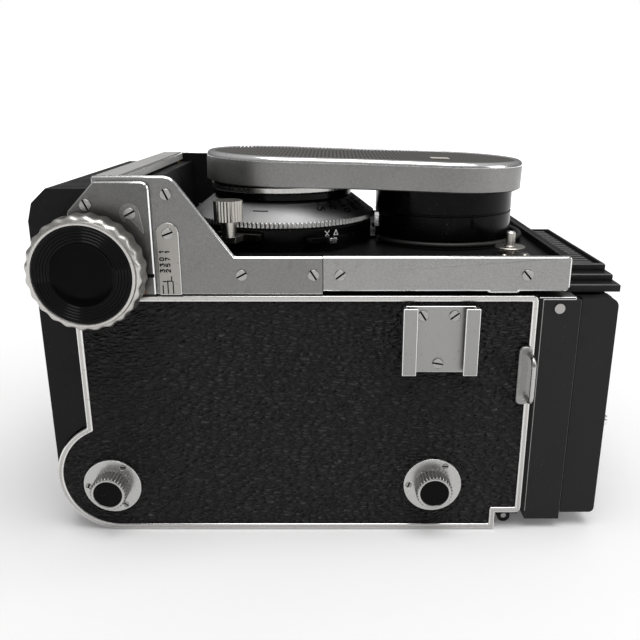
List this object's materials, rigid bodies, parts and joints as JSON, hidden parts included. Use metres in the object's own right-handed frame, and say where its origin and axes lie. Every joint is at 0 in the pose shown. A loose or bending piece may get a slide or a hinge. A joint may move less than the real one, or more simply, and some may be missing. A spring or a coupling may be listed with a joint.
{
  "type": "twin lens reflex camera",
  "caption": "Box camera with a viewing lens above a taking lens on a bellows standard, focused by side knobs, with a folding hood, lying on its back.",
  "frame": {"origin": "under the middle of the camera's bounding box, on the surface it lies on", "axes": "+X from the camera's bottom to its hood, +Y to the camera's right side, +Z out of the lenses"},
  "size_m": [0.161, 0.107, 0.1072],
  "materials": {
    "black_casting": "satin black enamel on a casting",
    "black_enamel": "satin black enamel",
    "trim_chrome": "aged chrome bead",
    "side_leather": "fine pebble grain",
    "steel_fittings": "satin plated steel",
    "satin_plate": "satin with polished edges",
    "screw_steel": "plated steel",
    "brass_gear": "machined",
    "mirror_glass": "front-silvered",
    "screen_glass": "ground",
    "lens_glass": "coated, polished",
    "loupe_parts": "black frame with a clear lens",
    "bellows_leather": "folded matt leather cloth",
    "knob_metal": "turned and knurled",
    "black_shutter": "gloss black",
    "dial_chrome": "satin chrome with engraved marks",
    "cap_metal": "satin with a polished rim",
    "cap_ribbed": "fine ribs",
    "wire_steel": "plain wire",
    "brass_pin": "nickelled brass",
    "spool_plastic": "moulded",
    "door_cover": "leather on a steel cover"
  },
  "bodies": {
    "camera_body": {"body_frame": "black_casting", "trim_beads": "trim_chrome", "leather_panels": "side_leather", "front_housing": "black_casting", "tripod_socket": "steel_fittings", "knob_plate_left": "satin_plate", "knob_plate_right": "satin_plate", "accessory_shoe": "steel_fittings", "strap_lugs": "steel_fittings", "knob_flanges": "steel_fittings", "body_screws": "screw_steel", "film_gate": "black_casting", "reflex_mirror": "mirror_glass", "focusing_screen": "screen_glass", "hood_seat": "satin_plate", "hood_base": "black_enamel", "nameplate": "black_enamel", "hinge_pins": "screw_steel", "bellows": "bellows_leather"},
    "front_standard": {"side_plate_left": "satin_plate", "side_plate_right": "satin_plate", "upper_plate_left": "satin_plate", "upper_plate_right": "satin_plate", "cross_bar": "satin_plate", "top_wall": "black_casting", "lens_board": "black_casting", "standard_screws": "screw_steel", "distance_scale": "satin_plate", "rack_bars": "brass_gear", "shutter_housing": "black_shutter", "front_ring": "black_shutter", "aperture_scale": "dial_chrome", "lens_glass": "lens_glass", "viewing_barrel": "black_shutter"},
    "focus_drive": {"focus_shaft": "screw_steel", "focus_knob_left": "knob_metal", "focus_knob_right": "knob_metal"},
    "speed_dial": {"speed_ring": "dial_chrome"},
    "aperture_control": {"aperture_lever": "dial_chrome"},
    "cocking_control": {"cocking_lever": "dial_chrome"},
    "release_control": {"release_lever": "dial_chrome"},
    "sync_control": {"sync_lever": "dial_chrome"},
    "cap": {"lens_cap": "cap_metal", "cap_insert": "cap_ribbed"},
    "bail": {"wire_bail": "wire_steel"},
    "lock": {"lock_pin": "brass_pin"},
    "wind_drive": {"wind_knob": "knob_metal", "take_up_spool": "spool_plastic"},
    "supply": {"supply_spool": "spool_plastic"},
    "lower_pull": {"pull_knob_lower": "knob_metal"},
    "upper_pull": {"pull_knob_upper": "knob_metal"},
    "back_door": {"film_door": "door_cover"},
    "pressure": {"pressure_plate": "black_casting"},
    "latch": {"door_latch": "steel_fittings"},
    "lid": {"hood_lid": "black_enamel"},
    "button": {"lid_button": "screw_steel"},
    "flap_left": {"side_flap_left": "black_enamel"},
    "flap_right": {"side_flap_right": "black_enamel"},
    "flap_rear": {"rear_flap": "black_enamel"},
    "loupe": {"magnifier": "loupe_parts"}
  },
  "joints": [
    {"name": "focus_slide", "type": "slide", "parent": "camera_body", "child": "front_standard", "axis": [0, 0, 1], "range_m": [0, 0.045], "deforming": ["bellows"]},
    {"name": "focus_turn", "type": "hinge", "parent": "camera_body", "child": "focus_drive", "pos_m": [-0.062, 0, 0.08], "axis": [0, -1, 0], "range_deg": [0, 516.5]},
    {"name": "speed_turn", "type": "hinge", "parent": "front_standard", "child": "speed_dial", "pos_m": [-0.0149, 0, 0.09], "axis": [0, 0, 1], "range_deg": [0, 150]},
    {"name": "aperture_turn", "type": "hinge", "parent": "front_standard", "child": "aperture_control", "pos_m": [-0.0149, 0, 0.085], "axis": [0, 0, 1], "range_deg": [-35, 5]},
    {"name": "cocking_turn", "type": "hinge", "parent": "front_standard", "child": "cocking_control", "pos_m": [-0.0149, 0, 0.082], "axis": [0, 0, 1], "range_deg": [0, 45], "stiffness_Nm_per_rad": 0.01},
    {"name": "release_turn", "type": "hinge", "parent": "front_standard", "child": "release_control", "pos_m": [-0.0149, 0, 0.084], "axis": [0, 0, 1], "range_deg": [0, 12], "stiffness_Nm_per_rad": 0.01},
    {"name": "sync_turn", "type": "hinge", "parent": "front_standard", "child": "sync_control", "pos_m": [-0.0149, 0, 0.084], "axis": [0, 0, 1], "range_deg": [0, 15]},
    {"name": "cap_pull", "type": "slide", "parent": "front_standard", "child": "cap", "axis": [0, 0, 1], "range_m": [0, 0.02]},
    {"name": "bail_swing", "type": "hinge", "parent": "front_standard", "child": "bail", "pos_m": [0.01431, 0, 0.0817], "axis": [0, -1, 0], "range_deg": [0, 10]},
    {"name": "lock_turn", "type": "hinge", "parent": "front_standard", "child": "lock", "pos_m": [0.0498, -0.03, 0.083], "axis": [0, 0, 1], "range_deg": [0, 90]},
    {"name": "wind_turn", "type": "hinge", "parent": "camera_body", "child": "wind_drive", "pos_m": [0.0294, 0, 0.0151], "axis": [0, 1, 0], "continuous": true},
    {"name": "supply_turn", "type": "hinge", "parent": "camera_body", "child": "supply", "pos_m": [-0.0633, 0, 0.0147], "axis": [0, 1, 0], "continuous": true},
    {"name": "lower_pull_out", "type": "slide", "parent": "camera_body", "child": "lower_pull", "axis": [0, -1, 0], "range_m": [0, 0.0055], "stiffness_N_per_m": 300},
    {"name": "upper_pull_out", "type": "slide", "parent": "camera_body", "child": "upper_pull", "axis": [0, -1, 0], "range_m": [0, 0.0055], "stiffness_N_per_m": 300},
    {"name": "door_open", "type": "hinge", "parent": "camera_body", "child": "back_door", "pos_m": [0.0518, 0, 0.0024], "axis": [0, -1, 0], "range_deg": [0, 100]},
    {"name": "pressure_give", "type": "slide", "parent": "back_door", "child": "pressure", "axis": [0, 0, -1], "range_m": [0, 0.001], "stiffness_N_per_m": 600},
    {"name": "latch_slide", "type": "slide", "parent": "back_door", "child": "latch", "axis": [0, 1, 0], "range_m": [0, 0.005]},
    {"name": "lid_open", "type": "hinge", "parent": "camera_body", "child": "lid", "pos_m": [0.0767, 0, 0.0692], "axis": [0, -1, 0], "range_deg": [0, 90]},
    {"name": "button_press", "type": "slide", "parent": "lid", "child": "button", "axis": [-1, 0, 0], "range_m": [0, 0.0008], "stiffness_N_per_m": 500},
    {"name": "flap_left_turn", "type": "hinge", "parent": "camera_body", "child": "flap_left", "pos_m": [0.069, -0.0378, 0.034], "axis": [0, 0, -1], "range_deg": [0, 90]},
    {"name": "flap_right_turn", "type": "hinge", "parent": "camera_body", "child": "flap_right", "pos_m": [0.069, 0.0378, 0.034], "axis": [0, 0, 1], "range_deg": [0, 90]},
    {"name": "flap_rear_turn", "type": "hinge", "parent": "camera_body", "child": "flap_rear", "pos_m": [0.069, 0, 0.0076], "axis": [0, 1, 0], "range_deg": [0, 90]},
    {"name": "loupe_turn", "type": "hinge", "parent": "lid", "child": "loupe", "pos_m": [0.0734, 0, 0.0415], "axis": [0, -1, 0], "range_deg": [-90, 0]}
  ],
  "couplings": [
    {"joint": "focus_turn", "follows": "focus_slide", "rad_per_m": 200},
    {"joint": "flap_left_turn", "follows": "lid_open", "ratio": 1},
    {"joint": "flap_right_turn", "follows": "lid_open", "ratio": 1},
    {"joint": "flap_rear_turn", "follows": "lid_open", "ratio": 1},
    {"joint": "loupe_turn", "follows": "lid_open", "ratio": -1}
  ]
}
